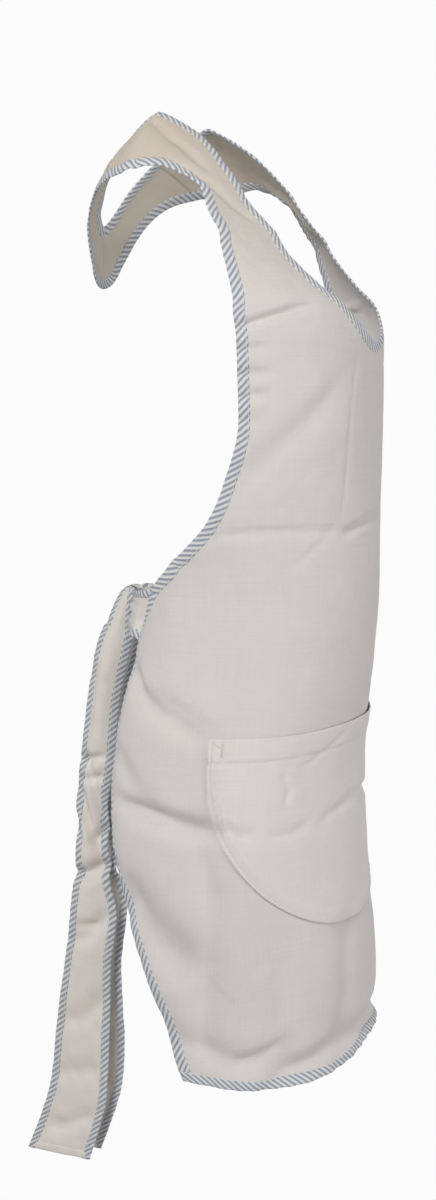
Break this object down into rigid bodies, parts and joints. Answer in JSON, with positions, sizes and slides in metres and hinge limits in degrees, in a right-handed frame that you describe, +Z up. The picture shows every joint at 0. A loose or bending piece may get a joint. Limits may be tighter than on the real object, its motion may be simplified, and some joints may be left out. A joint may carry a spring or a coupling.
{
  "type": "butcher apron",
  "caption": "Worn butcher's bib apron in white cotton: wide shoulder straps, half-moon front pocket, striped bound edges, and waist ties knotted at the back with hanging tails.",
  "frame": {"origin": "midway between the two places where the straps lie on the wearer's shoulders, at the height of the straps' inner edges on the shoulder ridge", "axes": "+Z up as worn, the apron faces -Y, +X is the wearer's left"},
  "size_m": [0.362, 0.3617, 1.0296],
  "materials": {
    "cotton_cloth": "plain woven natural white cotton, matt",
    "striped_binding": "bias binding, fine white and blue-grey stripes, matt",
    "thread": "off-white cotton sewing thread"
  },
  "bodies": {
    "apron": {"apron_body": "cotton_cloth", "right_back_strap": "cotton_cloth", "left_back_strap": "cotton_cloth", "pocket": "cotton_cloth", "pocket_stitching": "thread", "pocket_hem_stitching": "thread", "right_pocket_tack": "thread", "left_pocket_tack": "thread", "neck_binding": "striped_binding", "right_armhole_binding": "striped_binding", "left_armhole_binding": "striped_binding", "right_side_binding": "striped_binding", "left_side_binding": "striped_binding", "hem_binding": "striped_binding", "right_waist_tie": "cotton_cloth", "right_waist_tie_upper_binding": "striped_binding", "right_waist_tie_lower_binding": "striped_binding", "left_waist_tie": "cotton_cloth", "left_waist_tie_upper_binding": "striped_binding", "left_waist_tie_lower_binding": "striped_binding", "waist_knot": "cotton_cloth"},
    "right_upper_tail": {"right_tail_upper": "cotton_cloth", "right_tail_upper_front_binding": "striped_binding", "right_tail_upper_rear_binding": "striped_binding"},
    "right_lower_tail": {"right_tail_lower": "cotton_cloth", "right_tail_lower_front_binding": "striped_binding", "right_tail_lower_rear_binding": "striped_binding", "right_tail_end_hem": "cotton_cloth"},
    "left_upper_tail": {"left_tail_upper": "cotton_cloth", "left_tail_upper_front_binding": "striped_binding", "left_tail_upper_rear_binding": "striped_binding"},
    "left_lower_tail": {"left_tail_lower": "cotton_cloth", "left_tail_lower_front_binding": "striped_binding", "left_tail_lower_rear_binding": "striped_binding", "left_tail_end_hem": "cotton_cloth"}
  },
  "joints": [
    {"name": "right_tail_swing", "type": "hinge", "parent": "apron", "child": "right_upper_tail", "pos_m": [-0.014, 0.034, -0.449], "axis": [1, 0, 0], "range_deg": [0, 80]},
    {"name": "right_tail_fold", "type": "hinge", "parent": "right_upper_tail", "child": "right_lower_tail", "pos_m": [-0.014, 0.096, -0.73], "axis": [0, 0.9701, 0.2425], "range_deg": [-2, 80]},
    {"name": "left_tail_swing", "type": "hinge", "parent": "apron", "child": "left_upper_tail", "pos_m": [0.014, 0.034, -0.449], "axis": [1, 0, 0], "range_deg": [0, 80]},
    {"name": "left_tail_fold", "type": "hinge", "parent": "left_upper_tail", "child": "left_lower_tail", "pos_m": [0.014, 0.096, -0.73], "axis": [0, 0.9701, 0.2425], "range_deg": [-80, 2]}
  ]
}
